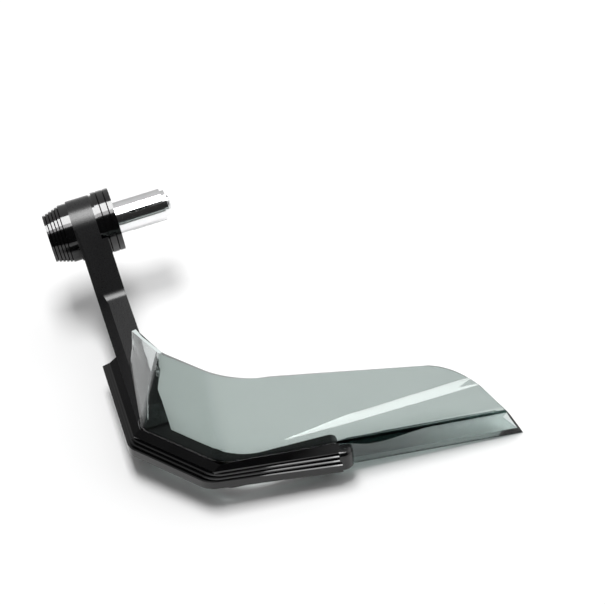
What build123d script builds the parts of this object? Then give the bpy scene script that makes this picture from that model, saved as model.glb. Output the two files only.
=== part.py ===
"""Motorcycle hand guard for the right-hand end of a handlebar.

Millimetres, +Z up. The origin is on the bar axis, on the inner face of the spacer ring.
+X runs along the collet into the bar and -Y points to the front of the machine.
"""
from build123d import *
from math import atan2, cos, hypot, radians, sin, sqrt, tan
import os

# Bar end, along X
spacer_r = 17.0
spacer_len = 10.75
spacer_neck_r = 15.9
spacer_neck_len = 1.35
spacer_groove_w = 0.6
spacer_groove_depth = 0.5
spacer_groove_1 = 2.6
spacer_groove_2 = 6.4
dish_r = 12.8
dish_depth = 5.0
collar_r = 9.3
collar_step_r = 8.2
collar_step_len = 1.6
collar_gap = 0.8
collet_r = 8.75
collet_len = 26.0
collet_relief = 0.4
collet_bore_r = 5.0
collet_slot_w = 1.6
collet_slot_start = 7.0
cone_len = 10.0
cone_proud = 2.2
cone_tip_r = 7.3
bolt_r = 4.0
bolt_proud = 1.8
bolt_head_r = 6.5
bolt_head_len = 8.0
bolt_hex = 6.0
bolt_hex_depth = 4.0
cap_len = 13.7
cap_r = 15.7
cap_end_r = 12.8
cap_band_len = 4.6
cap_rings = 5
cap_ring_groove_w = 0.55
cap_ring_groove_depth = 0.65
cap_floor = 3.0
cap_washer_t = 1.6
bush_r = 6.2
shaft_clear = 0.2
thread_clear = 0.05
head_clear = 0.6

# Arm
arm_t = 15.1
arm_inner_x = -7.65
eye_r = 16.4
eye_proud = 0.6
neck_angle = 50.0
arm_top_z = -19.4
arm_bottom_z = -46.4
arm_toe = 0.2
arm_nose_len = 8.5
arm_nose_drop = 5.8
bend_top_r = 7.0
bend_bottom_r = 7.0
nose_bottom_r = 5.0
arm_chamfer_w = 4.9
arm_chamfer_h = 3.6
arm_fade = 0.7
pocket_clear = 1.4
pocket_wall = 2.0
rim_w = 2.4
lattice_depth = 5.5
rib_t = 1.15
rib_pitch_z = 6.5
rib_pitch_y = 9.0
rib_first_z = 4.8
boss_r = 7.4
boss_recess_r = 5.4
boss_recess_depth = 4.8
arm_screw_rear_y = -88.0
arm_screw_front_y = -114.0

# Plane of the lower guard, tilted against the arm
guard_y = -129.5
guard_z = -24.3
guard_tilt_x = 0.0722
guard_tilt_y = 0.0401
diag_angle = 50.94
diag_len = 48.1
front_angle = 7.74
front_len = 139.0
blank_spare = 14.0
lip_h = 15.3

# Shield
sheet_t = 2.5
fold_r = 4.5
wing_len = 40.0
wing_foot_in = 4.9
wing_foot_up = 6.9
wing_top_in = 9.5
wing_top_len = 42.3
wing_top_up = 25.3
wing_crease_at = 0.49
wing_crease_in = 1.0
wing_second_at = 0.75
top1_in = 17.0
top1_back = 10.0
top1_up = 35.2
top2_in = 42.2
top2_fwd = 19.8
top2_up = 34.6
top_end_up = 13.8195
top_angle = 6.95
foot_depth = 10.5
foot_tail = 9.0
foot_tail_top = 2.0
fold1_bend = 3.4
fold2_bend = 8.0
fold2_top_bend = 13.0
ledge_start = 30.0
ledge_start_low = 5.8
ledge_start_high = 6.3
ledge_start_tilt = 26.0
ledge_mid = 62.0
ledge_mid_low = 8.7
ledge_mid_high = 12.4
ledge_mid_tilt = 23.0
ledge_end_in = 10.0
ledge_end_low = 15.5
ledge_end_high = 20.6
ledge_end_tilt = 13.0
ledge_out_share = 0.6
flange_w = 15.6
flange_clear = 1.2
end_cut_angle = 54.0
end_back_angle = 12.0
end_knee_h = 25.4
end_round_r = 40.0
end_square_in = 19.0
flange_round_r = 5.0

# Leg behind the lip
leg_t = 6.0
leg_gap = 0.15
leg_top_drop = 1.3
leg_h = 17.2
leg_end = 57.0
leg_corner_r = 6.0
leg_inner_r = 28.0
leg_end_r = 4.5
leg_recess_r = 5.0
leg_recess_depth = 3.0
leg_screw_at = 49.0
tab_screw_at = 22.9
screw_drop = 7.2

# Blade
blade_h = 12.1
blade_slope_out = 3.6
blade_slope_down = 2.5
blade_first_riser = 1.45
blade_ribs = 3
blade_rib_out = 1.25
blade_lip_out = 0.6
blade_lip_drop = 0.28
blade_riser = 1.42
blade_side_len = 55.2
blade_side_step = 1.5
blade_end = 63.0
nose_len = 6.2
nose_out = 6.2
nose_drop = 1.5
nose_plan_r = 5.0
nose_top_r = 2.6
blade_corner1_r = 10.0
blade_corner2_r = 13.0

# Small fasteners
screw_r = 2.0
screw_head_r = 3.5
screw_head_len = 4.0
screw_hex = 3.0
screw_hex_depth = 2.2
screw_bite = 2.3
washer_r = 4.5
washer_t = 0.8
insert_across = 5.6
insert_start = 0.2
insert_len = 2.6
hole_clear = 0.3

arm_outer_x = arm_inner_x - arm_t
arm_front_y = guard_y - arm_toe
pocket_r = spacer_r + pocket_clear
flange_start = leg_end + flange_clear
blank_end = front_len + blank_spare
ledge_end = front_len - ledge_end_in
end_square_at = front_len - end_square_in
top_slope = (top2_up - top_end_up) / front_len
guard = Plane(
    origin=(arm_outer_x, guard_y, guard_z),
    x_dir=(1, 0, -guard_tilt_x),
    z_dir=(guard_tilt_x, guard_tilt_y, 1),
)
diag_u = (cos(radians(diag_angle)), -sin(radians(diag_angle)))
diag_n = (-diag_u[1], diag_u[0])
front_u = (cos(radians(front_angle)), -sin(radians(front_angle)))
front_n = (-front_u[1], front_u[0])
corner2 = (diag_len * diag_u[0], diag_len * diag_u[1])


def on_guard(p, q, r):
    return guard.from_local_coords(Vector(p, q, r))


def diag_at(s, o):
    return (s * diag_u[0] + o * diag_n[0], s * diag_u[1] + o * diag_n[1])


def front_at(s, o):
    return (corner2[0] + s * front_u[0] + o * front_n[0], corner2[1] + s * front_u[1] + o * front_n[1])


def front_place(point):
    """Place of a point along the front line and its offset from it."""
    dp = point.X - corner2[0]
    dq = point.Y - corner2[1]
    return (dp * front_u[0] + dq * front_u[1], dp * front_n[0] + dq * front_n[1])


def corner_at(o):
    """Where the diagonal and front lines, both offset by o, cross."""
    half = radians((diag_angle - front_angle) / 2)
    return diag_at(diag_len + o * tan(half), o)


def tube(r, x0, x1):
    """Solid cylinder on the bar axis from x0 to x1."""
    rod = Cylinder(r, x1 - x0, align=(Align.CENTER, Align.CENTER, Align.MIN))
    return Plane(origin=(x0, 0, 0), z_dir=(1, 0, 0)) * rod


def turned(points):
    """Solid of revolution about the bar axis from (x, radius) points."""
    outline = Polyline(*[(x, r, 0) for x, r in points], close=True)
    return revolve(make_face(outline), Axis.X, 360)


def pin(base, direction, r, length):
    """Cylinder from a point along a direction."""
    place = Plane(origin=base, z_dir=direction)
    return place * Cylinder(r, length, align=(Align.CENTER, Align.CENTER, Align.MIN))


def hex_pit(base, direction, across, depth):
    place = Plane(origin=base, z_dir=direction)
    return place * extrude(RegularPolygon(across / sqrt(3), 6), depth)


# Sections of the shield lie in planes upright on the guard plane, each through a foot and a top point.
def sheet_section(foot, top, breaks, bottom, wide, slanted=1.0):
    """Closed section: foot and top are (p, q, r), breaks are (part of the way, shift inward), bottom is r.

    A section that runs across the sheet at a slant is thicker, by the factor slanted.
    """
    dp = top[0] - foot[0]
    dq = top[1] - foot[1]
    reach = hypot(dp, dq)
    h = (dp / reach, dq / reach)
    rise = top[2] - foot[2]
    slant = hypot(reach, rise)
    across = (rise / slant, -reach / slant)
    points = [(0.0, 0.0)]
    for part, shift in breaks:
        points.append((part * reach + shift * across[0], part * rise + shift * across[1]))
    points.append((reach, rise))
    normals = []
    for start, stop in zip(points, points[1:]):
        span = hypot(stop[0] - start[0], stop[1] - start[1])
        normals.append(((stop[1] - start[1]) / span, (start[0] - stop[0]) / span))
    turn = atan2(-normals[0][1], normals[0][0])

    def place(o, r):
        return on_guard(foot[0] + o * h[0], foot[1] + o * h[1], foot[2] + r)

    def side(t):
        radius = fold_r - t
        centre = (fold_r, -fold_r * tan(turn / 2))
        start = (centre[0] - radius, centre[1])
        bow = (centre[0] - radius * cos(turn / 2), centre[1] + radius * sin(turn / 2))
        stop = (centre[0] - radius * cos(turn), centre[1] + radius * sin(turn))
        line = [(t, bottom - foot[2]), start, bow, stop]
        for point, n1, n2 in zip(points[1:], normals, normals[1:]):
            k = t / (1 + n1[0] * n2[0] + n1[1] * n2[1])
            line.append((point[0] + k * (n1[0] + n2[0]), point[1] + k * (n1[1] + n2[1])))
        line.append((reach + t * normals[-1][0], rise + t * normals[-1][1]))
        return [place(*v) for v in line]

    a = side(-wide * slanted)
    b = side((sheet_t + wide) * slanted)
    edges = [Line(a[0], a[1]), ThreePointArc(a[1], a[2], a[3])]
    edges = edges + [Line(one, two) for one, two in zip(a[3:], a[4:])]
    edges = edges + [Line(a[-1], b[-1])]
    edges = edges + [Line(two, one) for one, two in reversed(list(zip(b[3:], b[4:])))]
    edges = edges + [ThreePointArc(b[3], b[2], b[1]), Line(b[1], b[0]), Line(b[0], a[0])]
    return Face(Wire(edges))


def slant_of(foot, top, facing):
    """How much thicker the sheet is along a section than square to it."""
    dp = top[0] - foot[0]
    dq = top[1] - foot[1]
    return hypot(dp, dq) / (dp * facing[0] + dq * facing[1])


def mix(a, b, k):
    return tuple(u + (v - u) * k for u, v in zip(a, b))


def toward(a, b, dist):
    """Point at a distance from a on the way to b."""
    span = sqrt(sum((v - u) ** 2 for u, v in zip(a, b)))
    return mix(a, b, dist / span)


def bend(a, corner, b, k):
    return mix(mix(a, corner, k), mix(corner, b, k), k)


wing_foot = (wing_foot_in, wing_len, wing_foot_up)
foot1 = (0.0, 0.0, 0.0)
foot2 = (corner2[0], corner2[1], 0.0)
wing_top = (wing_top_in, wing_top_len, wing_top_up)
top1 = (top1_in, top1_back, top1_up)
top2 = (top2_in, -top2_fwd, top2_up)


def front_foot(s):
    return (*front_at(s, 0), 0.0)


def front_top(s):
    """Point of the top edge square across from the lip at s."""
    p, q = front_at(s, 0)
    run = (cos(radians(top_angle)), -sin(radians(top_angle)))
    det = front_n[0] * -run[1] + run[0] * front_n[1]
    dp = top2[0] - p
    dq = top2[1] - q
    o = (dp * -run[1] + run[0] * dq) / det
    at = front_at(s, o)
    along = (at[0] - top2[0]) * run[0] + (at[1] - top2[1]) * run[1]
    return (at[0], at[1], top2_up - top_slope * along)


def front_breaks(s):
    """Two lines of the ledge on the front panel, as (part of the way up, shift inward)."""
    top = front_top(s)
    foot = front_foot(s)
    slant = hypot(hypot(top[0] - foot[0], top[1] - foot[1]), top[2])
    tilt = ledge_start_tilt
    low = ledge_start_low
    high = ledge_start_high
    if s > ledge_start:
        k = min((s - ledge_start) / (ledge_mid - ledge_start), 1.0)
        low = low + (ledge_mid_low - low) * k
        high = high + (ledge_mid_high - high) * k
        tilt = ledge_start_tilt + (ledge_mid_tilt - ledge_start_tilt) * k
    if s > ledge_mid:
        k = (s - ledge_mid) / (ledge_end - ledge_mid)
        low = low + (ledge_end_low - ledge_mid_low) * k
        high = high + (ledge_end_high - ledge_mid_high) * k
        tilt = tilt + (ledge_end_tilt - ledge_mid_tilt) * k
    step = (high - low) * tan(radians(tilt))
    return ((low / slant, -step * ledge_out_share), (high / slant, step * (1 - ledge_out_share)))


def sheet_pieces(wide):
    """Lofts of the bent sheet; wide widens it on both faces for the slot in the arm."""
    w_foot_end = toward(foot1, wing_foot, fold1_bend)
    w_top_end = toward(top1, wing_top, fold1_bend)
    d_foot_start = toward(foot1, foot2, fold1_bend)
    d_top_start = toward(top1, top2, fold1_bend)
    d_foot_end = toward(foot2, foot1, fold2_bend)
    d_top_end = toward(top2, top1, fold2_top_bend)
    f_foot_start = front_foot(fold2_bend)
    f_top_start = front_top(front_place(Vector(*top2))[0] + fold2_top_bend)
    d_slant = slant_of(d_foot_end, d_top_end, diag_n)
    f_slant = slant_of(f_foot_start, f_top_start, front_n)
    flat = front_breaks(fold2_bend)
    slow = ((wing_crease_at, 0.0), (wing_second_at, 0.0))
    second_in = wing_crease_in * (1 - wing_second_at) / (1 - wing_crease_at)
    dented = ((wing_crease_at, wing_crease_in), (wing_second_at, second_in))
    deep = -foot_depth - wide
    low = -lip_h - wide
    wing = loft(
        [
            sheet_section(wing_foot, wing_top, dented, deep, wide),
            sheet_section(w_foot_end, w_top_end, slow, deep, wide),
        ],
        ruled=True,
    )
    steps = (0.0, 0.2, 0.4, 0.6, 0.8, 1.0)
    turn1 = loft(
        [
            sheet_section(
                bend(w_foot_end, foot1, d_foot_start, k),
                bend(w_top_end, top1, d_top_start, k),
                [mix(one, two, k) for one, two in zip(slow, flat)],
                deep + (low - deep) * k,
                wide,
            )
            for k in steps
        ]
    )
    diag = loft(
        [
            sheet_section(d_foot_start, d_top_start, flat, low, wide),
            sheet_section(d_foot_end, d_top_end, flat, low, wide, d_slant),
        ],
        ruled=True,
    )
    turn2 = loft(
        [
            sheet_section(
                bend(d_foot_end, foot2, f_foot_start, k),
                bend(d_top_end, top2, f_top_start, k),
                flat,
                low,
                wide,
                d_slant + (f_slant - d_slant) * k,
            )
            for k in steps
        ]
    )
    stations = (ledge_start, ledge_mid, ledge_end, blank_end)
    front = loft(
        [sheet_section(f_foot_start, f_top_start, flat, low, wide, f_slant)]
        + [sheet_section(front_foot(s), front_top(s), front_breaks(s), low, wide) for s in stations],
        ruled=True,
    )
    return [wing, turn1, diag, turn2, front]


def foot_tail_plate(wide):
    """Tail of the wing's foot, hidden in the arm, that takes the rear screw."""
    span = hypot(wing_foot_in, wing_len)
    u = (wing_foot_in / span, wing_len / span)
    n = (u[1], -u[0])

    def at(s, o):
        return (u[0] * s + n[0] * o, u[1] * s + n[1] * o)

    start = span - fold1_bend
    stop = span + foot_tail + wide
    plan = [at(start, -wide), at(stop, -wide), at(stop, sheet_t + wide), at(start, sheet_t + wide)]
    face = make_face(Polyline(*plan, close=True))
    high = -foot_tail_top + wide
    low = -foot_depth - wide
    return guard * Pos(0, 0, low) * extrude(face, high - low)


def screw_places():
    """Point on the blade's seat and inward direction of each screw."""
    places = {}
    for name, y in (("arm_screw_rear", arm_screw_rear_y), ("arm_screw_front", arm_screw_front_y)):
        z = guard_z - (screw_drop / guard.z_dir.Z) - guard_tilt_y * (y - guard_y)
        places[name] = (Vector(arm_outer_x, y, z), Vector(1, 0, 0))
    p, q = diag_at(tab_screw_at, 0)
    inward = guard.x_dir * diag_n[0] + guard.y_dir * diag_n[1]
    places["tab_screw"] = (on_guard(p, q, -screw_drop), inward)
    p, q = front_at(leg_screw_at, 0)
    inward = guard.x_dir * front_n[0] + guard.y_dir * front_n[1]
    places["leg_screw"] = (on_guard(p, q, -screw_drop), inward)
    return places


screws = screw_places()
seat_of = {
    "arm_screw_rear": arm_t - boss_recess_depth,
    "arm_screw_front": arm_t - boss_recess_depth,
    "tab_screw": sheet_t + leg_gap + leg_t - leg_recess_depth,
    "leg_screw": sheet_t + leg_gap + leg_t - leg_recess_depth,
}
hole_r = screw_r + hole_clear


def screw_hole(name, start, stop, r):
    """Cylinder on a screw's axis between two distances from the blade's seat."""
    base, inward = screws[name]
    return pin(base + inward * start, inward, r, stop - start)


def make_shield():
    plan = [
        front_at(flange_start, sheet_t / 2),
        front_at(blank_end, sheet_t / 2),
        front_at(blank_end, flange_w),
        front_at(flange_start, flange_w),
    ]
    flange_face = make_face(Polyline(*plan, close=True))
    near = flange_face.vertices().sort_by(Axis.X)[0:2].sort_by(Axis.Y)[1:2]
    flange_face = fillet(near, flange_round_r)
    flange = guard * Pos(0, 0, -lip_h) * extrude(flange_face, sheet_t)
    body = Part() + sheet_pieces(0.0)
    body = body + [foot_tail_plate(0.0), flange]
    # The free end is cut square to the front panel, rounded into the top edge.
    foot = on_guard(*front_foot(end_square_at))
    rising = on_guard(*front_top(end_square_at)) - foot
    along = guard.x_dir * front_u[0] + guard.y_dir * front_u[1]
    panel = Plane(origin=on_guard(*front_foot(0)), x_dir=along, z_dir=along.cross(rising))
    a = radians(end_cut_angle)
    b = radians(end_back_angle)
    knee = (front_len - end_knee_h / tan(a), end_knee_h)
    far = 80.0
    low = (knee[0] + far * cos(a), knee[1] - far * sin(a))
    back = (knee[0] - far * cos(b), knee[1] + far * sin(b))
    out = low[0] + far
    high = back[1] + far
    face = make_face(Polyline(back, knee, low, (out, low[1]), (out, high), (back[0], high), close=True))
    knee_v = face.vertices().sort_by_distance(Vector(knee[0], knee[1], 0))[0]
    face = fillet([knee_v], end_round_r)
    body = body - panel * extrude(face, far, both=True)
    for name in screws:
        body = body - screw_hole(name, -1.0, sheet_t * 4, hole_r)
    return body


def make_leg():
    o1 = sheet_t + leg_gap
    o2 = o1 + leg_t
    start_q = 1.0

    def line_start(o):
        base = diag_at(0, o)
        s = (base[1] - start_q) / -diag_u[1]
        return diag_at(s, o)

    toe_p = arm_t
    toe_base = diag_at(0, o2)
    toe_q = diag_at((toe_p - toe_base[0]) / diag_u[0], o2)[1]
    plan = [
        line_start(o1),
        corner_at(o1),
        front_at(leg_end, o1),
        front_at(leg_end, o2),
        corner_at(o2),
        (toe_p, toe_q),
        (toe_p, start_q),
    ]
    face = make_face(Polyline(*plan, close=True))
    for o, r in ((o1, leg_corner_r), (o2, leg_inner_r)):
        v = face.vertices().sort_by_distance(Vector(*corner_at(o), 0))[0]
        face = fillet([v], r)
    leg = guard * Pos(0, 0, -leg_top_drop - leg_h) * extrude(face, leg_h)
    tip = on_guard(*front_at(leg_end, (o1 + o2) / 2), -leg_top_drop)
    return fillet(leg.edges().sort_by_distance(tip)[0], leg_end_r)


def arm_profile():
    a = radians(neck_angle)
    up = (-sin(a), cos(a))
    down = (-cos(a), -sin(a))
    upper = (eye_r * up[0], eye_r * up[1])
    lower = (-upper[0], -upper[1])
    k = (upper[1] - arm_top_z) / sin(a)
    bend_top = (upper[0] + down[0] * k, arm_top_z)
    k = (lower[1] - arm_bottom_z) / sin(a)
    bend_bottom = (lower[0] + down[0] * k, arm_bottom_z)
    points = [
        upper,
        bend_top,
        (arm_front_y + arm_nose_len, arm_top_z),
        (arm_front_y, arm_top_z - arm_nose_drop),
        (arm_front_y, arm_bottom_z),
        bend_bottom,
        lower,
    ]
    face = make_face(Polyline(*points, close=True))
    nose = (arm_front_y, arm_bottom_z)
    for spot, r in ((bend_top, bend_top_r), (bend_bottom, bend_bottom_r), (nose, nose_bottom_r)):
        v = face.vertices().sort_by_distance(Vector(spot[0], spot[1], 0))[0]
        face = fillet([v], r)
    return face, bend_top, upper


def edge_cut(bend_top, upper):
    """Chamfer along the outer top edge that fades out up the neck."""
    a = radians(neck_angle)
    reach = bend_top_r * tan(a / 2)
    y1 = bend_top[0] - reach
    centre = (y1, arm_top_z + bend_top_r)
    mid = (centre[0] + bend_top_r * sin(a / 2), centre[1] - bend_top_r * cos(a / 2))
    end = (bend_top[0] + reach * cos(a), arm_top_z + reach * sin(a))
    places = (
        ((arm_front_y - 5, arm_top_z), 0.0, 1.0),
        ((y1, arm_top_z), 0.0, 1.0),
        (mid, a / 2, 0.85),
        (end, a, arm_fade),
        (upper, a, 0.08),
    )
    cuts = []
    for (y, z), turn, part in places:
        w = arm_chamfer_w * part
        h = arm_chamfer_h * part
        section = [(w, 0), (-1, -h * (w + 1) / w), (-1, 2), (w, 2)]
        points = [(arm_outer_x + x, y - n * sin(turn), z + n * cos(turn)) for x, n in section]
        cuts.append(make_face(Polyline(*points, close=True)))
    return [loft([one, two], ruled=True) for one, two in zip(cuts, cuts[1:])]


def make_arm():
    face, bend_top, upper = arm_profile()
    eye = Circle(eye_r)
    side = Plane(origin=(arm_outer_x, 0, 0), x_dir=(0, 1, 0), z_dir=(1, 0, 0))
    body = side * extrude(face + eye, arm_t)
    body = body + tube(eye_r, arm_outer_x - eye_proud, -spacer_len)
    body = body - tube(pocket_r, -spacer_len, arm_inner_x + 5)
    # Lattice: the window less its ribs is cut in one go.
    window = offset(face, -rim_w)
    window = window - Circle(pocket_r + pocket_wall)
    ribs = Sketch()
    height = arm_top_z - arm_bottom_z
    z = arm_bottom_z + height - rib_first_z
    levels = int(80 / rib_pitch_z)
    for i in range(-levels, levels):
        ribs = ribs + Pos(-65, z - i * rib_pitch_z) * Rectangle(160, rib_t)
    count = int(190 / rib_pitch_y)
    for i in range(count):
        place = Pos(35 - i * rib_pitch_y, arm_bottom_z + height / 2)
        ribs = ribs + place * Rot(0, 0, neck_angle) * Rectangle(190, rib_t)
    for name in ("arm_screw_rear", "arm_screw_front"):
        base = screws[name][0]
        window = window - Pos(base.Y, base.Z) * Circle(boss_r)
    cells = window - ribs
    cells = [c for c in cells.faces() if c.area > 3.0]
    floor = Plane(origin=(arm_inner_x - lattice_depth, 0, 0), x_dir=(0, 1, 0), z_dir=(1, 0, 0))
    body = body - [floor * extrude(c, lattice_depth + 1) for c in cells]
    body = body - edge_cut(bend_top, upper)
    body = body + make_leg()
    # Room for the shield and the fasteners.
    body = body - (sheet_pieces(leg_gap) + [foot_tail_plate(leg_gap)])
    for name in screws:
        body = body - screw_hole(name, -1.0, arm_t + 4, hole_r)
    for name in ("arm_screw_rear", "arm_screw_front"):
        body = body - screw_hole(name, seat_of[name], arm_t + 1, boss_recess_r)
    for name in ("tab_screw", "leg_screw"):
        body = body - screw_hole(name, seat_of[name], arm_t + 1, leg_recess_r)
    body = body - tube(bush_r, arm_outer_x - eye_proud - 1, 0)
    return body


def make_nose(rib_end):
    """Smooth rounded end of the blade, past its ribs."""
    corners = [
        front_at(rib_end - 1, 0),
        front_at(rib_end - 1, -nose_out),
        front_at(blade_end, -nose_out),
        front_at(blade_end, 0),
    ]
    face = make_face(Polyline(*corners, close=True))
    tip = face.vertices().sort_by_distance(Vector(*front_at(blade_end, -nose_out), 0))[0]
    face = fillet([tip], nose_plan_r)
    nose = extrude(face, blade_h - nose_drop)
    rims = []
    for edge in nose.faces().sort_by(Axis.Z)[-1].edges():
        s, o = front_place(edge.center())
        if o < -0.1 and s > rib_end - 0.9:
            rims.append(edge)
    nose = fillet(rims, nose_top_r)
    return Pos(0, 0, -blade_h) * nose


def make_blade():
    rib_end = blade_end - nose_len

    def plan(out, q_end, rounded):
        half = radians((90 - diag_angle) / 2)
        c1 = (-out, -out * tan(half))
        points = [
            (3.0, q_end),
            (-out, q_end),
            c1,
            corner_at(-out),
            front_at(rib_end, -out),
            front_at(rib_end, 0),
            corner2,
            (0, 0),
            (3.0, 2.0),
        ]
        face = make_face(Polyline(*points, close=True))
        if rounded:
            for spot, r in ((c1, blade_corner1_r), (corner_at(-out), blade_corner2_r)):
                v = face.vertices().sort_by_distance(Vector(spot[0], spot[1], 0))[0]
                face = fillet([v], r)
        return face

    high = plan(0.05, blade_side_len, False)
    low = plan(blade_slope_out, blade_side_len, False)
    slope = loft([high, Pos(0, 0, -blade_slope_down) * low], ruled=True)
    body = slope + Pos(0, 0, -blade_h) * extrude(low, blade_h - blade_slope_down)
    for k in range(blade_ribs):
        drop = blade_slope_down + blade_first_riser + k * (blade_lip_drop + blade_riser)
        out = blade_slope_out + k * blade_rib_out
        side = blade_side_len + (k + 1) * blade_side_step
        upper = plan(out + blade_rib_out - blade_lip_out, side, True)
        lower = plan(out + blade_rib_out, side, True)
        tread = loft([Pos(0, 0, -drop) * upper, Pos(0, 0, -drop - blade_lip_drop) * lower], ruled=True)
        wall = Pos(0, 0, -blade_h) * extrude(lower, blade_h - drop - blade_lip_drop)
        body = body + [tread, wall]
    body = body + make_nose(rib_end)
    body = guard * body
    seat = Box(40, 120, 120, align=(Align.MIN, Align.MIN, Align.CENTER))
    side_cut = Pos(arm_outer_x, guard_y, guard_z) * seat
    body = body - ([side_cut] + sheet_pieces(leg_gap)[0:2])
    for name in screws:
        body = body - screw_hole(name, -insert_start - insert_len - 0.2, 1.0, screw_r + thread_clear)
        base, inward = screws[name]
        deep = insert_start + insert_len
        body = body - hex_pit(base - inward * deep, inward, insert_across, deep + 1.0)
    return body


def make_cap():
    x0 = arm_outer_x - eye_proud
    x1 = x0 - cap_len
    points = [(x0, bolt_r + shaft_clear), (x0, cap_r), (x0 - cap_band_len, cap_r)]
    pitch = (cap_len - cap_band_len) / cap_rings
    fall = (cap_r - cap_end_r) / cap_rings
    for i in range(cap_rings):
        x = x0 - cap_band_len - i * pitch
        r = cap_r - (i + 1) * fall
        points.append((x - cap_ring_groove_w / 2, r - cap_ring_groove_depth))
        points.append((x - cap_ring_groove_w, r))
        points.append((x - pitch, r))
    bore = bolt_head_r + head_clear
    seat = x0 - cap_floor
    points = points + [(x1, bore), (seat, bore), (seat, bolt_r + shaft_clear)]
    return turned(points)


def make_spacer():
    x0 = -spacer_len
    neck = x0 + spacer_neck_len
    points = [(x0, bolt_r + shaft_clear), (x0, spacer_neck_r), (neck, spacer_neck_r), (neck, spacer_r)]
    for at in (spacer_groove_2, spacer_groove_1):
        points.append((-at - spacer_groove_w, spacer_r))
        points.append((-at - spacer_groove_w / 2, spacer_r - spacer_groove_depth))
        points.append((-at, spacer_r))
    points = points + [(0, spacer_r), (0, dish_r), (-dish_depth, dish_r), (-dish_depth, bolt_r + shaft_clear)]
    return turned(points)


def make_collar():
    x0 = -dish_depth
    x2 = -collar_gap
    x1 = x2 - collar_step_len
    body = tube(collar_r, x0, x1) + tube(collar_step_r, x1, x2)
    return body - tube(bolt_r + shaft_clear, -30, 5)


def make_sleeve():
    x0 = -collar_gap
    body = tube(collet_r, 0, collet_len) + tube(collet_r - collet_relief, x0, 0)
    body = body - tube(collet_bore_r, x0 - 1, collet_len + 1)
    start = collet_len - cone_len + cone_proud
    mouth = cone_r_at(collet_len)
    body = body - turned([(start, 0), (start, collet_bore_r), (collet_len, mouth), (collet_len, 0)])
    for turn in (45, 135):
        slot = Box(collet_len, collet_slot_w, 3 * collet_r, align=(Align.MIN, Align.CENTER, Align.CENTER))
        body = body - Rot(turn, 0, 0) * Pos(collet_slot_start, 0, 0) * slot
    return body


def cone_r_at(x):
    x0 = collet_len - cone_len + cone_proud
    return collet_bore_r + (cone_tip_r - collet_bore_r) * (x - x0) / (cone_len - cone_proud)


def make_cone():
    x0 = collet_len - cone_len + cone_proud
    x1 = collet_len + cone_proud
    bore = bolt_r + thread_clear
    points = [(x0, bore), (x0, collet_bore_r), (collet_len, cone_tip_r), (x1, cone_tip_r), (x1, bore)]
    return turned(points)


def make_bolt():
    head_x = arm_outer_x - eye_proud - cap_floor - cap_washer_t
    end = collet_len + cone_proud + bolt_proud
    body = tube(bolt_r, head_x, end) + tube(bolt_head_r, head_x - bolt_head_len, head_x)
    body = chamfer(body.faces().sort_by(Axis.X)[-1].edges(), 0.8)
    pit = hex_pit(Vector(head_x - bolt_head_len, 0, 0), Vector(1, 0, 0), bolt_hex, bolt_hex_depth)
    return body - pit


def make_cap_washer():
    x1 = arm_outer_x - eye_proud - cap_floor
    body = tube(bolt_head_r + head_clear / 2, x1 - cap_washer_t, x1)
    return body - tube(bolt_r + shaft_clear, -60, 5)


def make_bush():
    body = tube(bush_r, arm_outer_x - eye_proud, -spacer_len)
    return body - tube(bolt_r + shaft_clear, -60, 5)


def make_screw(name):
    base, inward = screws[name]
    seat = seat_of[name] + washer_t
    head = pin(base + inward * seat, inward, screw_head_r, screw_head_len)
    head = chamfer(head.edges().sort_by_distance(base)[-1], 0.4)
    shank = pin(base - inward * screw_bite, inward, screw_r, seat + screw_bite)
    pit = hex_pit(base + inward * (seat + screw_head_len), inward * -1, screw_hex, screw_hex_depth)
    return head + shank - pit


def make_washer(name):
    base, inward = screws[name]
    ring = pin(base + inward * seat_of[name], inward, washer_r, washer_t)
    return ring - screw_hole(name, -20, 40, screw_r + shaft_clear)


def make_insert(name):
    base, inward = screws[name]
    nut = hex_pit(base - inward * (insert_start + insert_len), inward, insert_across, insert_len)
    return nut - screw_hole(name, -20, 40, screw_r + thread_clear)


nodes = {
    "arm": make_arm(),
    "shield": make_shield(),
    "guard_blade": make_blade(),
    "bar_end_cap": make_cap(),
    "cap_washer": make_cap_washer(),
    "clamp_bolt": make_bolt(),
    "eye_bush": make_bush(),
    "spacer_ring": make_spacer(),
    "collet_collar": make_collar(),
    "collet_sleeve": make_sleeve(),
    "collet_cone": make_cone(),
}
for screw in screws:
    nodes[screw] = make_screw(screw)
    place = screw.replace("_screw", "")
    nodes[place + "_washer"] = make_washer(screw)
    nodes[place + "_insert"] = make_insert(screw)

os.makedirs("parts", exist_ok=True)
for name, shape in nodes.items():
    export_step(shape, "parts/" + name + ".step")
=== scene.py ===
"""Hand guard for a motorcycle's bar end: its finishes, its small fittings and a plain studio."""

import math

import bmesh
import bpy
from mathutils import Matrix, Vector
from mathutils.bvhtree import BVHTree


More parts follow.
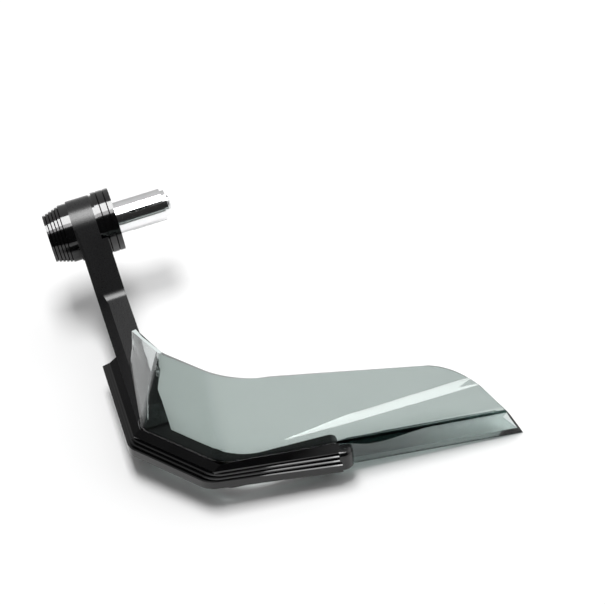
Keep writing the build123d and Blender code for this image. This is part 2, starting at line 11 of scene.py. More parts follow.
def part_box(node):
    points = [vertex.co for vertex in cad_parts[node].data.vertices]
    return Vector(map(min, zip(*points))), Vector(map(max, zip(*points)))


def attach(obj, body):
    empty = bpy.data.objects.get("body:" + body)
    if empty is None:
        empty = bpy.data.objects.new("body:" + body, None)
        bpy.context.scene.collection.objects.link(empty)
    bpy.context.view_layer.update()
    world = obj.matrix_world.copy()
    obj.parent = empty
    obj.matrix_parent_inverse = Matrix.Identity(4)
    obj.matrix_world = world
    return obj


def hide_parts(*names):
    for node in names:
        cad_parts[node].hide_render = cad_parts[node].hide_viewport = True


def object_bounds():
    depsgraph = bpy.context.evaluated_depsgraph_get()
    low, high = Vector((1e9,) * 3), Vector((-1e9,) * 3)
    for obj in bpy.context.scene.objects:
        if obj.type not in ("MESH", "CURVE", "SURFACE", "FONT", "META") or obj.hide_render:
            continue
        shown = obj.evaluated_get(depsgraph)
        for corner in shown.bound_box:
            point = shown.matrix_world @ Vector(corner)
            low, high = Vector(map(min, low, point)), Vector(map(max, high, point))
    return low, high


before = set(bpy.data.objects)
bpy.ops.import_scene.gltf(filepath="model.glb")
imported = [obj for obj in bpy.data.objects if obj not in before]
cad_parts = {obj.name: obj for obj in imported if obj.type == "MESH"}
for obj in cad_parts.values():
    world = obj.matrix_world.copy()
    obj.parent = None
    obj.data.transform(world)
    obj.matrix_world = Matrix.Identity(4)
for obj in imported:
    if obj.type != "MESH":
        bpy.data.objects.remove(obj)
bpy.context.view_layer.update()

MM = 0.001

# Angles up to which a surface is shaded smooth
MOULDED = math.radians(28)
RIBBED = math.radians(14)
TURNED = math.radians(11)
PANEL_CREASE = math.radians(7)

# Angle from which an edge is hard, and the rounds on hard edges
HARD_EDGE = math.radians(30)
ARM_EDGE = 0.25 * MM
WASHER_EDGE = 0.08 * MM
INSERT_EDGE = 0.06 * MM
SCREW_EDGE = 0.3 * MM
SCREW_WASHER_EDGE = 0.12 * MM

# Thicknesses, lengths of the screws under their heads, and the thread near the bolt's end
SHEET_T = 2.5 * MM
WASHER_T = 0.8 * MM
ARM_GRIP = 13.4 * MM
LEG_GRIP = 8.75 * MM
THREAD_LEN = 1.0 * MM
THREAD_BACK = 1.7 * MM
BAR_AXIS = Vector((1.0, 0.0, 0.0))


# Frame of the guard: its plane leans a little, and its lines run forward at an angle

GUARD_CORNER = Vector((-22.75, -129.5, -24.3)) * MM
LEAN_ACROSS = 0.0722
LEAN_BACK = 0.0401
DIAGONAL = 50.94
DIAGONAL_LEN = 48.1 * MM
FRONT = 7.74
guard_up = Vector((LEAN_ACROSS, LEAN_BACK, 1.0)).normalized()
guard_across = Vector((1.0, 0.0, -LEAN_ACROSS)).normalized()
guard_back = guard_up.cross(guard_across)


def along(angle):
    """Direction of a line of the guard."""
    turn = math.radians(angle)
    return guard_across * math.cos(turn) - guard_back * math.sin(turn)


def square_to(angle):
    """Direction square to a line of the guard, inward."""
    turn = math.radians(angle)
    return guard_across * math.sin(turn) + guard_back * math.cos(turn)


front_corner = GUARD_CORNER + along(DIAGONAL) * DIAGONAL_LEN

# Screws by their places: node, axis and grip
screw_places = {
    "arm_rear": ("arm_screw_rear", BAR_AXIS, ARM_GRIP),
    "arm_front": ("arm_screw_front", BAR_AXIS, ARM_GRIP),
    "tab": ("tab_screw", square_to(DIAGONAL), LEG_GRIP),
    "leg": ("leg_screw", square_to(FRONT), LEG_GRIP),
}


# Parts of the finishes

# Share of the noise that the tones and the roughness swing over
NOISE_LOW = 0.3
NOISE_HIGH = 0.7

# Directions in which a number is eased
RISE = (0.0, 1.0)
FALL = (1.0, 0.0)


def bare_finish(name):
    """A new material with one Principled shader; gives the material, its nodes and the shader."""
    finish = bpy.data.materials.new(name)
    finish.use_nodes = True
    tree = finish.node_tree
    return finish, tree, tree.nodes["Principled BSDF"]


def piece_coordinates(tree):
    """The piece's own coordinates."""
    return tree.nodes.new("ShaderNodeTexCoord").outputs["Object"]


def mottle(tree, scale, detail=3.0):
    """Even, fine noise over a piece."""
    noise = tree.nodes.new("ShaderNodeTexNoise")
    noise.inputs["Scale"].default_value = scale
    noise.inputs["Detail"].default_value = detail
    tree.links.new(piece_coordinates(tree), noise.inputs["Vector"])
    return noise.outputs["Fac"]


def shade_range(tree, factor, low, high):
    """A number that swings between two values with the factor."""
    swing = tree.nodes.new("ShaderNodeMapRange")
    swing.inputs["From Min"].default_value = NOISE_LOW
    swing.inputs["From Max"].default_value = NOISE_HIGH
    swing.inputs["To Min"].default_value = low
    swing.inputs["To Max"].default_value = high
    tree.links.new(factor, swing.inputs["Value"])
    return swing.outputs["Result"]


def two_tone(tree, factor, low, high):
    """A colour between two close tones."""
    tones = tree.nodes.new("ShaderNodeValToRGB")
    for element, place, tone in zip(tones.color_ramp.elements, (NOISE_LOW, NOISE_HIGH), (low, high)):
        element.position = place
        element.color = (*tone, 1.0)
    tree.links.new(factor, tones.inputs["Fac"])
    return tones.outputs["Color"]


def relief(tree, shader, height, strength, depth):
    """Small relief on the surface."""
    bump = tree.nodes.new("ShaderNodeBump")
    bump.inputs["Strength"].default_value = strength
    bump.inputs["Distance"].default_value = depth
    tree.links.new(height, bump.inputs["Height"])
    tree.links.new(bump.outputs["Normal"], shader.inputs["Normal"])


def turned_marks(tree, pitch):
    """Fine rings that a lathe tool leaves round the bar's axis."""
    bands = tree.nodes.new("ShaderNodeTexWave")
    bands.wave_type = "BANDS"
    bands.bands_direction = "X"
    bands.inputs["Scale"].default_value = 1.0 / (pitch * 2 * math.pi)
    bands.inputs["Distortion"].default_value = 0.6
    bands.inputs["Detail"].default_value = 1.0
    tree.links.new(piece_coordinates(tree), bands.inputs["Vector"])
    return bands.outputs["Fac"]


def coat(tree, shader, colour, roughness):
    """Gives a shader its colour and roughness."""
    tree.links.new(colour, shader.inputs["Base Color"])
    tree.links.new(roughness, shader.inputs["Roughness"])


def fill(tree, socket, value):
    """Links or sets an input of a node."""
    if isinstance(value, bpy.types.NodeSocket):
        tree.links.new(value, socket)
    else:
        socket.default_value = value


def number(tree, operation, one, two=0.0):
    """A number worked out from one or two others."""
    made = tree.nodes.new("ShaderNodeMath")
    made.operation = operation
    fill(tree, made.inputs[0], one)
    fill(tree, made.inputs[1], two)
    return made.outputs[0]


def product(tree, *factors):
    """The product of several numbers."""
    made = factors[0]
    for factor in factors[1:]:
        made = number(tree, "MULTIPLY", made, factor)
    return made


def eased(tree, value, start, end, low, high):
    """A number that eases from low to high while the value goes from start to end."""
    ease = tree.nodes.new("ShaderNodeMapRange")
    ease.interpolation_type = "SMOOTHSTEP"
    for name, setting in (("From Min", start), ("From Max", end), ("To Min", low), ("To Max", high)):
        ease.inputs[name].default_value = setting
    tree.links.new(value, ease.inputs["Value"])
    return ease.outputs["Result"]


def blended(tree, factor, one, two):
    """A colour part of the way from one to another; each is a colour or a socket."""
    mix = tree.nodes.new("ShaderNodeMix")
    mix.data_type = "RGBA"
    tree.links.new(factor, mix.inputs[0])
    for socket, colour in ((mix.inputs[6], one), (mix.inputs[7], two)):
        fill(tree, socket, colour if isinstance(colour, bpy.types.NodeSocket) else (*colour, 1.0))
    return mix.outputs[2]


def vector_maths(tree, operation, one, two=None):
    """A node that works on one or two vectors."""
    made = tree.nodes.new("ShaderNodeVectorMath")
    made.operation = operation
    fill(tree, made.inputs[0], one)
    if two is not None:
        fill(tree, made.inputs[1], two)
    return made


# Finishes of the plain pieces

PLASTIC_IOR = 1.5
ANODISED_IOR = 1.6


def moulded_black():
    """Matt black plastic of the arm, with a fine spark-eroded grain."""
    finish, tree, shader = bare_finish("moulded black")
    cloud = mottle(tree, 60.0)
    grain = mottle(tree, 2600.0, 2.0)
    tone = two_tone(tree, cloud, (0.0055, 0.0055, 0.006), (0.0075, 0.0075, 0.008))
    roughness = shade_range(tree, grain, 0.26, 0.32)
    coat(tree, shader, tone, roughness)
    shader.inputs["IOR"].default_value = PLASTIC_IOR
    relief(tree, shader, grain, 0.12, 0.06 * MM)
    return finish


def gloss_black():
    """Gloss black plastic of the blade."""
    finish, tree, shader = bare_finish("gloss black")
    cloud = mottle(tree, 90.0)
    tone = two_tone(tree, cloud, (0.0018, 0.0018, 0.002), (0.003, 0.003, 0.0033))
    roughness = shade_range(tree, cloud, 0.05, 0.09)
    coat(tree, shader, tone, roughness)
    shader.inputs["IOR"].default_value = PLASTIC_IOR
    relief(tree, shader, mottle(tree, 240.0), 0.05, 0.04 * MM)
    return finish


def black_anodised():
    """Black anodised aluminium, turned."""
    finish, tree, shader = bare_finish("black anodised")
    cloud = mottle(tree, 120.0)
    tone = two_tone(tree, cloud, (0.002, 0.002, 0.0022), (0.0035, 0.0035, 0.0038))
    roughness = shade_range(tree, turned_marks(tree, 0.35 * MM), 0.07, 0.12)
    coat(tree, shader, tone, roughness)
    shader.inputs["IOR"].default_value = ANODISED_IOR
    relief(tree, shader, cloud, 0.04, 0.04 * MM)
    return finish


def bright_turned():
    """Bright turned aluminium of the collet."""
    finish, tree, shader = bare_finish("bright turned")
    cloud = mottle(tree, 150.0)
    tone = two_tone(tree, cloud, (0.86, 0.86, 0.87), (0.92, 0.92, 0.925))
    roughness = shade_range(tree, turned_marks(tree, 0.3 * MM), 0.09, 0.15)
    coat(tree, shader, tone, roughness)
    shader.inputs["Metallic"].default_value = 1.0
    relief(tree, shader, cloud, 0.04, 0.04 * MM)
    return finish


def plain_metal(name, grain, low, high, smoothest, roughest):
    """A plain metal in two close tones."""
    finish, tree, shader = bare_finish(name)
    cloud = mottle(tree, grain)
    coat(tree, shader, two_tone(tree, cloud, low, high), shade_range(tree, cloud, smoothest, roughest))
    shader.inputs["Metallic"].default_value = 1.0
    return finish


# Finishes of the smoked sheet

SHEET_IOR = 1.49
FRONT_TINT_LOW = (0.47, 0.52, 0.504)
FRONT_TINT_HIGH = (0.49, 0.54, 0.522)
# Painted light and shade in the tint: the diagonal face deeper for the shade behind it, the wing paler for a
# painted reflection, the lip dark in the blade's shadow and paling towards the free end
DIAGONAL_PAINTED_SHADE = (0.40, 0.45, 0.432)
WING_PAINTED_LIGHT = (0.62, 0.635, 0.635)
LIP_PAINTED_SHADE_AT_BLADE = (0.30, 0.33, 0.33)
LIP_PAINTED_LIGHT_AT_END = (0.74, 0.77, 0.765)
BEND_PAINTED_SHADE = (0.003, 0.011, 0.009)
FOOT_PAINTED_SHADE = (0.02, 0.024, 0.025)
SHADOW_TINT = (0.50, 0.515, 0.51)
SMOKE_TINT = (0.03, 0.20, 0.16)
SMOKE_DENSITY = 60.0
BEND_BULGE = 0.45

# Where one zone of the sheet's tint, with its painted light and shade, passes into the next, in millimetres
WING_TO_DIAGONAL = (1.0, 4.0)
DIAGONAL_TO_FRONT = (-4.0, 8.0)
LIP_TO_PANEL = (-0.5, 0.5)
LIP_PAINTED_SHADE_FADE = (64.0, 128.0)

# Depth over which the painted dark lines fade, in millimetres, so that only the outer face shows them
OUTER_SKIN = (1.3, 1.8)

# Painted shade line along the front bend, in millimetres: its start, its half width as it swells and tapers,
# its top
BEND_START = (55.0, 57.0)
SWELL_RUN = (54.0, 73.0)
SWELL_HALF = (0.5, 2.5)
TAPER_RUN = (74.0, 102.0)
TAPER_HALF = (0.0, 1.9)
BEND_TOP = 1.0
BEND_BLUR = (-0.25, 0.25)

# Painted shade line along the foot of the lip, in millimetres: its start and its top
FOOT_START = (60.0, 66.0)
FOOT_TOP = (-14.4, -13.9)


def reach(tree, origin, direction):
    """Distance of the surface from a point of the guard, along one of its directions, in millimetres."""
    offset = vector_maths(tree, "SUBTRACT", piece_coordinates(tree), origin)
    return vector_maths(tree, "DOT_PRODUCT", offset.outputs[0], direction / MM).outputs["Value"]


def front_place(tree):
    """Distances of the surface along the front bend, above it and behind it, in millimetres."""
    return [reach(tree, front_corner, way) for way in (along(FRONT), guard_up, square_to(FRONT))]


def outer_skin(tree, depth):
    """One on the outer face of the lip, none on its inner face."""
    return eased(tree, depth, *OUTER_SKIN, *FALL)


def painted_bend_shade(tree):
    """Painted shade: a dark line along the front bend of the sheet, thick past the blade's end, thin at the
    free end.
    """
    run, height, depth = front_place(tree)
    swell = eased(tree, run, *SWELL_RUN, *SWELL_HALF)
    taper = eased(tree, run, *TAPER_RUN, *TAPER_HALF)
    half = number(tree, "SUBTRACT", swell, taper)
    middle = number(tree, "SUBTRACT", BEND_TOP, half)
    off_line = number(tree, "ABSOLUTE", number(tree, "SUBTRACT", height, middle))
    dark = eased(tree, number(tree, "SUBTRACT", off_line, half), *BEND_BLUR, *FALL)
    past_blade = eased(tree, run, *BEND_START, *RISE)
    return product(tree, dark, outer_skin(tree, depth), past_blade)


def painted_foot_shade(tree):
    """Painted shade: a thin dark line along the lower edge of the lip, past the blade."""
    run, height, depth = front_place(tree)
    low = eased(tree, height, *FOOT_TOP, *FALL)
    past_blade = eased(tree, run, *FOOT_START, *RISE)
    return product(tree, low, outer_skin(tree, depth), past_blade)


def tint_with_painted_light_and_shade(tree, front):
    """Tint of the sheet with painted light and shade by zone: a painted pale reflection on the wing, painted
    shade that makes the diagonal face deeper, and painted shade on the lip by the blade that pales towards
    the free end.
    """
    run, height, _ = front_place(tree)
    past_fold = reach(tree, GUARD_CORNER, along(DIAGONAL))
    panel = blended(tree, eased(tree, run, *DIAGONAL_TO_FRONT, *RISE), DIAGONAL_PAINTED_SHADE, front)
    panel = blended(tree, eased(tree, past_fold, *WING_TO_DIAGONAL, *FALL), panel, WING_PAINTED_LIGHT)
    lip = blended(tree, eased(tree, run, *LIP_PAINTED_SHADE_FADE, *RISE), LIP_PAINTED_SHADE_AT_BLADE, LIP_PAINTED_LIGHT_AT_END)
    return blended(tree, eased(tree, height, *LIP_TO_PANEL, *FALL), panel, lip)


def bulge_up(tree, shader, where, amount):
    """Turns the surface upward where the bend is fullest."""
    surface = tree.nodes.new("ShaderNodeNewGeometry")
    lift = vector_maths(tree, "SCALE", guard_up * amount)
    tree.links.new(where, lift.inputs["Scale"])
    tilted = vector_maths(tree, "ADD", surface.outputs["Normal"], lift.outputs[0])
    unit = vector_maths(tree, "NORMALIZE", tilted.outputs[0])
    tree.links.new(unit.outputs[0], shader.inputs["Normal"])


def smoked_sheet():
    """Smoked clear plastic that lamps shine through, with painted shade lines along its front bend and its
    foot and painted light and shade in its tint.
    """
    finish, tree, shader = bare_finish("smoked sheet")
    ends = tree.nodes["Material Output"]
    cloud = mottle(tree, 25.0)
    line = painted_bend_shade(tree)
    bulge_up(tree, shader, line, BEND_BULGE)
    # Base colour of the sheet, with painted light and shade by zone and painted shade lines along the bend
    # and the foot
    tint = tint_with_painted_light_and_shade(tree, two_tone(tree, cloud, FRONT_TINT_LOW, FRONT_TINT_HIGH))
    # Painted shade along the foot of the lip
    tint = blended(tree, painted_foot_shade(tree), tint, FOOT_PAINTED_SHADE)
    # Painted shade along the front bend
    tint = blended(tree, line, tint, BEND_PAINTED_SHADE)
    coat(tree, shader, tint, shade_range(tree, cloud, 0.01, 0.03))
    shader.inputs["IOR"].default_value = SHEET_IOR
    shader.inputs["Transmission Weight"].default_value = 1.0
    smoke = tree.nodes.new("ShaderNodeVolumeAbsorption")
    smoke.inputs["Color"].default_value = (*SMOKE_TINT, 1.0)
    smoke.inputs["Density"].default_value = SMOKE_DENSITY
    tree.links.new(smoke.outputs["Volume"], ends.inputs["Volume"])
    clear_way = tree.nodes.new("ShaderNodeBsdfTransparent")
    clear_way.inputs["Color"].default_value = (*SHADOW_TINT, 1.0)
    light_path = tree.nodes.new("ShaderNodeLightPath")
    lit_through = tree.nodes.new("ShaderNodeMixShader")
    tree.links.new(light_path.outputs["Is Shadow Ray"], lit_through.inputs[0])
    tree.links.new(shader.outputs[0], lit_through.inputs[1])
    tree.links.new(clear_way.outputs[0], lit_through.inputs[2])
    tree.links.new(lit_through.outputs[0], ends.inputs["Surface"])
    return finish


def sheet_edge(name, low, high, smoothest, roughest):
    """An edge of the sheet: frosted and pale where it was sawn, dark where it was polished."""
    finish, tree, shader = bare_finish(name)
    grain = mottle(tree, 900.0, 2.0)
    coat(tree, shader, two_tone(tree, grain, low, high), shade_range(tree, grain, smoothest, roughest))
    shader.inputs["IOR"].default_value = SHEET_IOR
    relief(tree, shader, grain, 0.1, 0.05 * MM)
    return finish


arm_finish = moulded_black()
blade_finish = gloss_black()
anodised_finish = black_anodised()
collet_finish = bright_turned()
steel_finish = plain_metal("bright steel", 400.0, (0.62, 0.63, 0.64), (0.74, 0.745, 0.75), 0.16, 0.26)
bush_finish = plain_metal("bush metal", 300.0, (0.40, 0.39, 0.37), (0.50, 0.49, 0.47), 0.28, 0.38)
insert_finish = plain_metal("insert brass", 300.0, (0.60, 0.44, 0.16), (0.70, 0.53, 0.22), 0.28, 0.38)
shield_finish = smoked_sheet()
sawn_finish = sheet_edge("sawn edge", (0.50, 0.55, 0.54), (0.58, 0.63, 0.62), 0.40, 0.55)
polished_finish = sheet_edge("polished edge", (0.012, 0.02, 0.018), (0.02, 0.03, 0.028), 0.10, 0.20)


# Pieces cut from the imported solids

MERGE_GAP = 0.002 * MM


def ease_edges(piece, width):
    """Rounds the hard edges of a piece."""
    ease = piece.modifiers.new("eased edges", "BEVEL")
    ease.width = width
    ease.segments = 2
    ease.limit_method = "ANGLE"
    ease.angle_limit = HARD_EDGE
    ease.harden_normals = True
    ease.use_clamp_overlap = True


def merged(mesh, smooth):
    """Joins a mesh's loose faces, and shades it smooth up to an angle."""
    if "custom_normal" in mesh.attributes:
        mesh.attributes.remove(mesh.attributes["custom_normal"])
    shape = bmesh.new()
    shape.from_mesh(mesh)
    bmesh.ops.remove_doubles(shape, verts=shape.verts, dist=MERGE_GAP)
    for face in shape.faces:
        face.smooth = True
    for edge in shape.edges:
        edge.smooth = len(edge.link_faces) == 2 and edge.calc_face_angle() < smooth
    shape.to_mesh(mesh)
    shape.free()


def placed(name, mesh, edge):
    """Puts a finished mesh in the scene as a piece of the guard, with its hard edges eased."""
    piece = bpy.data.objects.new(name, mesh)
    bpy.context.scene.collection.objects.link(piece)
    if edge:
        ease_edges(piece, edge)
    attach(piece, "root")
    return piece


def dressed(node, finish, edge=0.0, smooth=MOULDED):
    """A merged copy of a solid with its edges eased, which stands in for it."""
    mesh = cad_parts[node].data.copy()
    mesh.name = node + " dressed"
    merged(mesh, smooth)
    mesh.materials.clear()
    mesh.materials.append(finish)
    piece = placed(node + "_piece", mesh, edge)
    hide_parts(node)
    return piece


def finish_edges(piece):
    """Finishes the sheet's upper edges, which have far more than its thickness behind them."""
    finishes = piece.data.materials
    sawn = len(finishes)
    finishes.append(sawn_finish)
    polished = len(finishes)
    finishes.append(polished_finish)
    under_skin = 0.02 * MM
    far_more = 1.7 * SHEET_T
    upper = 8 * MM
    wing_side = 3 * MM
    shape = bmesh.new()
    shape.from_mesh(piece.data)
    inside = BVHTree.FromBMesh(shape)
    for face in shape.faces:
        middle = face.calc_center_median()
        behind = inside.ray_cast(middle - face.normal * under_skin, -face.normal)[3]
        on_top = (middle - GUARD_CORNER).dot(guard_up) > upper
        on_wing = (middle - GUARD_CORNER).dot(along(DIAGONAL)) < wing_side
        if on_top and behind and behind > far_more:
            face.material_index = sawn if on_wing else polished
    shape.to_mesh(piece.data)
    shape.free()


def keep_creases(piece):
    """Leaves the shallow creases of the front panel sharp, and the bends smooth."""
    above_bend = 3.2 * MM
    crease_start = 32 * MM
    shape = bmesh.new()
    shape.from_mesh(piece.data)
    for edge in shape.edges:
        middle = (edge.verts[0].co + edge.verts[1].co) / 2 - front_corner
        on_panel = middle.dot(guard_up) > above_bend and middle.dot(along(FRONT)) > crease_start
        if on_panel and len(edge.link_faces) == 2 and edge.calc_face_angle() > PANEL_CREASE:
            edge.smooth = False
    shape.to_mesh(piece.data)
    shape.free()


def flat_faces_lead(piece):
    """Shades a piece by its wide flat faces, so that only its bends look curved."""
    lead = piece.modifiers.new("flat faces lead", "WEIGHTED_NORMAL")
    lead.mode = "FACE_AREA"
    lead.weight = 50
    lead.keep_sharp = True


dressed("arm", arm_finish, ARM_EDGE)
shield = dressed("shield", shield_finish)
keep_creases(shield)
finish_edges(shield)
flat_faces_lead(shield)
dressed("guard_blade", blade_finish, smooth=RIBBED)
for turned in ("bar_end_cap", "spacer_ring", "collet_collar"):
    dressed(turned, anodised_finish, smooth=TURNED)
for turned in ("collet_sleeve", "collet_cone"):
    dressed(turned, collet_finish, smooth=TURNED)
dressed("clamp_bolt", steel_finish, smooth=TURNED)
dressed("cap_washer", steel_finish, WASHER_EDGE)
dressed("eye_bush", bush_finish, WASHER_EDGE)
for place in screw_places:
    dressed(place + "_insert", insert_finish, INSERT_EDGE)


# Fasteners made by node trees

# Facets of round shapes, and steps in one turn of the thread
HEAD_SIDES = 56
HOLE_SIDES = 40
SHANK_SIDES = 32
RIDGE_SIDES = 6
TURN_STEPS = 64

# Hexagon of the key: its sides, and its corner radius for its width across the flats
HEX_SIDES = 6
HEX_CORNER = 1 / math.sqrt(3)


class NodeTree:
    """A geometry tree in the making, with named inputs."""

    def __init__(self, name):
        self.tree = bpy.data.node_groups.new(name, "GeometryNodeTree")
        self.tree.interface.new_socket("Geometry", in_out="INPUT", socket_type="NodeSocketGeometry")
        self.tree.interface.new_socket("Geometry", in_out="OUTPUT", socket_type="NodeSocketGeometry")
        self.start = self.tree.nodes.new("NodeGroupInput")
        self.end = self.tree.nodes.new("NodeGroupOutput")
        self.keys = {}

    def size(self, name, value):
        """A named size that can be set from outside."""
        socket = self.tree.interface.new_socket(name, in_out="INPUT", socket_type="NodeSocketFloat")
        socket.default_value = value
        self.keys[name] = socket.identifier
        return self.start.outputs[name]

    def finish(self, name):
        """A named material that can be set from outside."""
        socket = self.tree.interface.new_socket(name, in_out="INPUT", socket_type="NodeSocketMaterial")
        self.keys[name] = socket.identifier
        return self.start.outputs[name]

    def node(self, kind, settings=None, **inputs):
        """Adds a node, sets it and links or fills its inputs."""
        made = self.tree.nodes.new(kind)
        for key, value in (settings or {}).items():
            setattr(made, key, value)
        for key, value in inputs.items():
            fill(self.tree, made.inputs[key.replace("_", " ")], value)
        return made

    def times(self, one, two):
        """A size times a number."""
        return number(self.tree, "MULTIPLY", one, two)

    def moved(self, geometry, height):
        """Geometry lifted along its own axis."""
        lift = self.node("ShaderNodeCombineXYZ", Z=height).outputs[0]
        return self.node("GeometryNodeTransform", Geometry=geometry, Translation=lift).outputs[0]

    def rod(self, sides, radius, depth):
        """A closed cylinder about its own axis."""
        return self.node("GeometryNodeMeshCylinder", Vertices=sides, Radius=radius, Depth=depth).outputs[0]

    def cut(self, body, tool):
        """A body less a tool."""
        made = self.node("GeometryNodeMeshBoolean", {"operation": "DIFFERENCE"})
        self.tree.links.new(body, made.inputs[0])
        self.tree.links.new(tool, made.inputs[1])
        return made.outputs[0]

    def attribute(self, name, kind):
        """A value that the seats carry."""
        return self.node("GeometryNodeInputNamedAttribute", {"data_type": kind}, Name=name).outputs[0]

    def on_seats(self, shape, **inputs):
        """Copies of a shape on the seats, turned to their axes."""
        axis = self.attribute("axis", "FLOAT_VECTOR")
        turn = self.node("FunctionNodeAlignRotationToVector", {"axis": "Z"}, Vector=axis).outputs[0]
        copies = self.node("GeometryNodeInstanceOnPoints", Points=self.start.outputs["Geometry"],
                           Instance=shape, Rotation=turn, **inputs)
        return copies.outputs[0]

    def close(self, geometry, finish):
        """Makes the copies real, gives them their finish and ends the tree."""
        real = self.node("GeometryNodeRealizeInstances", Geometry=geometry).outputs[0]
        coated = self.node("GeometryNodeSetMaterial", Geometry=real, Material=finish).outputs[0]
        self.tree.links.new(coated, self.end.inputs[0])


def socket_screw_tree():
    """Socket-head screws: a round head with a hexagon pit on a plain shank, one on every seat."""
    tree = NodeTree("socket screws")
    head_radius = tree.size("Head radius", 3.5 * MM)
    head_height = tree.size("Head height", 4.0 * MM)
    shank_radius = tree.size("Shank radius", 2.0 * MM)
    key_width = tree.size("Key width", 3.0 * MM)
    key_depth = tree.size("Key depth", 2.2 * MM)
    finish = tree.finish("Finish")
    head = tree.moved(tree.rod(HEAD_SIDES, head_radius, head_height), tree.times(head_height, 0.5))
    # The tool that cuts the pit stands half out of the head
    pit = tree.rod(HEX_SIDES, tree.times(key_width, HEX_CORNER), tree.times(key_depth, 2.0))
    drilled = tree.cut(head, tree.moved(pit, head_height))
    # The shank hangs from its seat and is one unit long until the grip scales it
    shank = tree.moved(tree.rod(SHANK_SIDES, shank_radius, 1.0), -0.5)
    grip = tree.attribute("grip", "FLOAT")
    stretch = tree.node("ShaderNodeCombineXYZ", X=1.0, Y=1.0, Z=grip).outputs[0]
    joined = tree.node("GeometryNodeJoinGeometry")
    tree.tree.links.new(tree.on_seats(drilled), joined.inputs[0])
    tree.tree.links.new(tree.on_seats(shank, Scale=stretch), joined.inputs[0])
    tree.close(joined.outputs[0], finish)
    return tree


def washer_tree():
    """Plain round washers, one on every seat."""
    tree = NodeTree("plain washers")
    radius = tree.size("Radius", 4.5 * MM)
    hole = tree.size("Hole radius", 2.2 * MM)
    height = tree.size("Height", WASHER_T)
    finish = tree.finish("Finish")
    disc = tree.rod(HEAD_SIDES, radius, height)
    core = tree.rod(HOLE_SIDES, hole, tree.times(height, 3.0))
    ring = tree.moved(tree.cut(disc, core), tree.times(height, -0.5))
    tree.close(tree.on_seats(ring), finish)
    return tree


def thread_tree():
    """One thread that winds along the bolt's axis."""
    tree = NodeTree("bolt thread")
    radius = tree.size("Radius", 3.86 * MM)
    pitch = tree.size("Pitch", 0.6 * MM)
    length = tree.size("Length", THREAD_LEN)
    ridge = tree.size("Ridge", 0.2 * MM)
    finish = tree.finish("Finish")
    turns = number(tree.tree, "DIVIDE", length, pitch)
    line = tree.node("GeometryNodeCurveSpiral", Resolution=TURN_STEPS, Rotations=turns,
                     Start_Radius=radius, End_Radius=radius, Height=length).outputs[0]
    profile = tree.node("GeometryNodeCurvePrimitiveCircle", Resolution=RIDGE_SIDES, Radius=ridge).outputs[0]
    swept = tree.node("GeometryNodeCurveToMesh", Curve=line, Profile_Curve=profile, Fill_Caps=True)
    tree.close(tree.on_seats(swept.outputs[0]), finish)
    return tree


def made_on_seats(name, tree, seats, sizes, edge=0.0):
    """Runs a tree on seats of (place, axis, grip) and keeps the result as one piece of bright steel."""
    points = bpy.data.meshes.new(name + " seats")
    points.from_pydata([place for place, _, _ in seats], [], [])
    points.attributes.new("axis", "FLOAT_VECTOR", "POINT")
    points.attributes.new("grip", "FLOAT", "POINT")
    for i, (_, axis, grip) in enumerate(seats):
        points.attributes["axis"].data[i].vector = axis
        points.attributes["grip"].data[i].value = grip
    maker = bpy.data.objects.new(name + " maker", points)
    bpy.context.scene.collection.objects.link(maker)
    run = maker.modifiers.new(name, "NODES")
    run.node_group = tree.tree
    for key, value in sizes.items():
        run[tree.keys[key]] = value
    run[tree.keys["Finish"]] = steel_finish
    graph = bpy.context.evaluated_depsgraph_get()
    mesh = bpy.data.meshes.new_from_object(maker.evaluated_get(graph))
    maker.modifiers.remove(run)
    bpy.data.objects.remove(maker)
    mesh.name = name
    merged(mesh, MOULDED)
    piece = placed(name.replace(" ", "_"), mesh, edge)
    return piece


screw_seats = []
for place, (_, axis, grip) in screw_places.items():
    low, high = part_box(place + "_washer")
    screw_seats.append(((low + high) / 2 + axis * (WASHER_T / 2), axis, grip))

screws = made_on_seats("socket screws", socket_screw_tree(), screw_seats, {}, SCREW_EDGE)
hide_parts(*[node for node, _, _ in screw_places.values()])
washers = made_on_seats("plain washers", washer_tree(), screw_seats, {"Height": WASHER_T}, SCREW_WASHER_EDGE)
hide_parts(*[place + "_washer" for place in screw_places])
bolt_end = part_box("clamp_bolt")[1].x
thread_seat = (BAR_AXIS * (bolt_end - THREAD_BACK), BAR_AXIS, 0.0)
made_on_seats("bolt thread", thread_tree(), [thread_seat], {"Length": THREAD_LEN})


# Studio

FLOOR_HALF = 4.0
FLOOR_BOUNCE = 0.8
FLOOR_SEEN = 0.9
BOX_HEIGHT = 1.15

# Room light by direction: from where to where it changes, and its levels there
ROOM_FRONT = (-0.62, -0.35, 0.04, 1.0)
ROOM_HEIGHT = (0.1, 0.75, 0.5, 0.6)
ROOM_LEFT = (-0.7, -0.3, 0.15, 1.0)
ROOM_RIGHT = (0.5, 0.8, 0.0, 0.8)

floor_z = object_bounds()[0].z


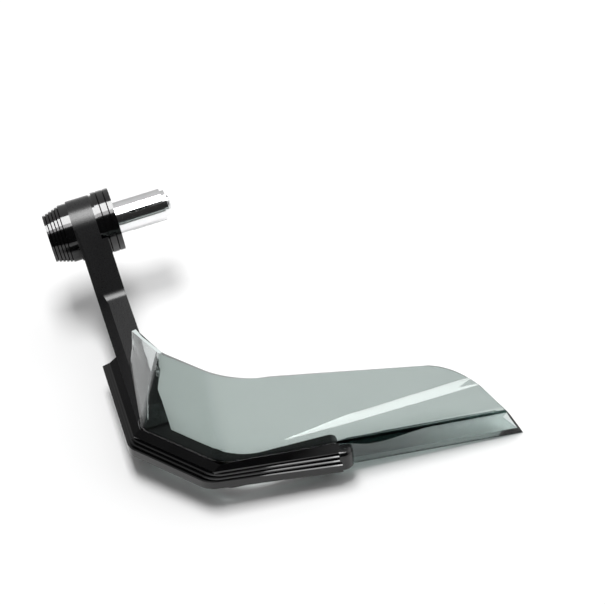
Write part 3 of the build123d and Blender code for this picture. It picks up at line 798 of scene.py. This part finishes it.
def studio_floor():
    """Pale floor that takes shadows, a little whiter where it is seen than in the light it throws back."""
    mesh = bpy.data.meshes.new("floor")
    corners = [(x * FLOOR_HALF, y * FLOOR_HALF, floor_z) for x, y in ((-1, -1), (1, -1), (1, 1), (-1, 1))]
    mesh.from_pydata(corners, [], [(0, 1, 2, 3)])
    floor = bpy.data.objects.new("floor", mesh)
    bpy.context.scene.collection.objects.link(floor)
    paper = bpy.data.materials.new("white paper")
    paper.use_nodes = True
    tree = paper.node_tree
    tree.nodes.remove(tree.nodes["Principled BSDF"])
    matt = tree.nodes.new("ShaderNodeBsdfDiffuse")
    light_path = tree.nodes.new("ShaderNodeLightPath").outputs
    seen = number(tree, "MAXIMUM", light_path["Is Camera Ray"], light_path["Is Glossy Ray"])
    seen = number(tree, "MAXIMUM", seen, light_path["Is Transmission Ray"])
    white = tree.nodes.new("ShaderNodeMapRange")
    white.inputs["To Min"].default_value = FLOOR_BOUNCE
    white.inputs["To Max"].default_value = FLOOR_SEEN
    tree.links.new(seen, white.inputs["Value"])
    tree.links.new(white.outputs["Result"], matt.inputs["Color"])
    tree.links.new(matt.outputs[0], tree.nodes["Material Output"].inputs["Surface"])
    mesh.materials.append(paper)
    return floor


def studio_room():
    """Soft room light, dim in front and on the left, with a bright wall on the right."""
    world = bpy.data.worlds.new("studio room")
    bpy.context.scene.world = world
    world.use_nodes = True
    tree = world.node_tree
    room = tree.nodes["Background"]
    where = tree.nodes.new("ShaderNodeTexCoord")
    split = tree.nodes.new("ShaderNodeSeparateXYZ")
    tree.links.new(where.outputs["Generated"], split.inputs[0])
    front = eased(tree, split.outputs["Y"], *ROOM_FRONT)
    height = eased(tree, split.outputs["Z"], *ROOM_HEIGHT)
    left = eased(tree, split.outputs["X"], *ROOM_LEFT)
    right = eased(tree, split.outputs["X"], *ROOM_RIGHT)
    level = number(tree, "ADD", product(tree, front, height, left), right)
    tree.links.new(level, room.inputs["Strength"])
    room.inputs["Color"].default_value = (1.0, 1.0, 1.0, 1.0)


def softbox(name, x, y, width, depth, power):
    """A flat rectangular lamp that faces straight down."""
    lamp = bpy.data.lights.new(name, "AREA")
    lamp.shape = "RECTANGLE"
    lamp.size = width
    lamp.size_y = depth
    lamp.energy = power
    box = bpy.data.objects.new(name, lamp)
    box.location = (x, y, BOX_HEIGHT)
    bpy.context.scene.collection.objects.link(box)
    return box


floor = studio_floor()
studio_room()
overhead = softbox("overhead softbox", x=0.09, y=0.03, width=0.36, depth=0.68, power=11.8)
# The front box only shows in what shines, so that it lightens no shadow on the floor
front_box = softbox("front softbox", x=0.28, y=-0.465, width=0.66, depth=0.31, power=4.6)
front_box.visible_diffuse = False


# Camera

def photo_camera():
    """The camera where the photograph was taken from."""
    eye = Vector((-23.9, -640.8, 516.7)) * MM
    ahead = Vector((0.1275, 0.7133, -0.6890)).normalized()
    across = Vector((0.9415, -0.3017, -0.1371))
    across = (across - ahead * across.dot(ahead)).normalized()
    up = across.cross(ahead)
    lens = bpy.data.cameras.new("photo camera")
    lens.lens = 90.91
    lens.sensor_width = 36.0
    lens.clip_start = 0.01
    lens.clip_end = 20.0
    camera = bpy.data.objects.new("photo camera", lens)
    turn = Matrix((across, up, -ahead)).transposed().to_4x4()
    camera.matrix_world = Matrix.Translation(eye) @ turn
    bpy.context.scene.collection.objects.link(camera)
    bpy.context.scene.camera = camera


photo_camera()
bpy.context.scene.view_settings.view_transform = "Standard"
